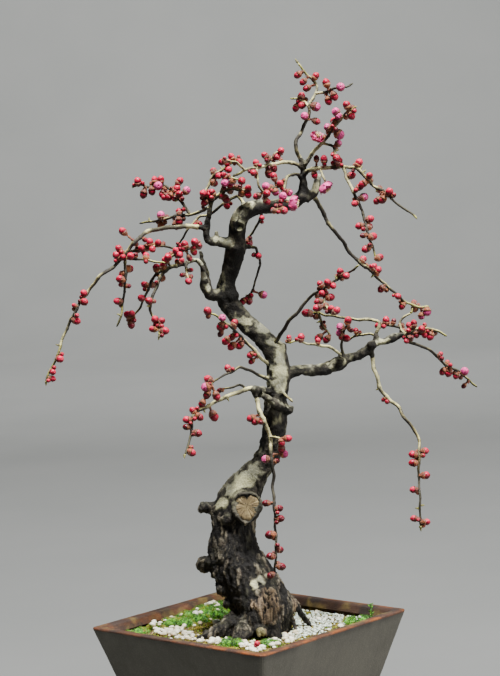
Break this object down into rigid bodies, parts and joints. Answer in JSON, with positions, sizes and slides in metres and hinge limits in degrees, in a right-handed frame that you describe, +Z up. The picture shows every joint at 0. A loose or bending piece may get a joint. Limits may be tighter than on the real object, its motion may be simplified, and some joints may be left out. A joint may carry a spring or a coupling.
{
  "type": "flowering bonsai tree",
  "caption": "Flowering apricot bonsai with a bare, bent trunk, drooping twigs of red buds and a few open pink flowers, in a square tapered clay pot with pebbles and moss.",
  "frame": {"origin": "centre of the pot's flat base", "axes": "+Z up along the trunk's growth; -Y is the display side; the pot stands on a corner towards -Y"},
  "size_m": [0.4283, 0.31, 0.6844],
  "materials": {
    "pot_clay": "unglazed, matte, worn terracotta rim",
    "screen_plastic": "matte",
    "soil": "loose, matte",
    "gravel": "small worn pebbles",
    "bark": "rough bark with pale lichen",
    "moss": "soft, matte",
    "petals": "soft satin",
    "twigs": "smooth young bark with red buds"
  },
  "bodies": {
    "root": {"pot": "pot_clay", "drain_screen_1": "screen_plastic", "drain_screen_2": "screen_plastic", "drain_screen_3": "screen_plastic", "drain_screen_4": "screen_plastic", "soil": "soil", "gravel": "gravel", "wood": "bark", "moss_left": "moss", "moss_corner": "moss", "moss_front": "moss", "moss_front_right": "moss", "moss_right": "moss", "fallen_bud": "petals", "spray_arch_hanging": "twigs", "spray_behind_crown": "twigs", "spray_cross": "twigs", "spray_left_crown": "twigs", "spray_left_hanging": "twigs", "spray_left_long": "twigs", "spray_low_inner": "twigs", "spray_low_left": "twigs", "spray_low_middle": "twigs", "spray_middle_back": "twigs", "spray_middle_low": "twigs", "spray_middle_short": "twigs", "spray_middle_up": "twigs", "spray_right_back": "twigs", "spray_right_end": "twigs", "spray_right_hanging": "twigs", "spray_right_high": "twigs", "spray_right_long": "twigs", "spray_top_down": "twigs", "spray_top_high": "twigs", "spray_top_left": "twigs", "spray_top_right": "twigs", "spray_trunk_front": "twigs", "spray_trunk_light": "twigs", "spray_trunk_side": "twigs"}
  },
  "joints": []
}
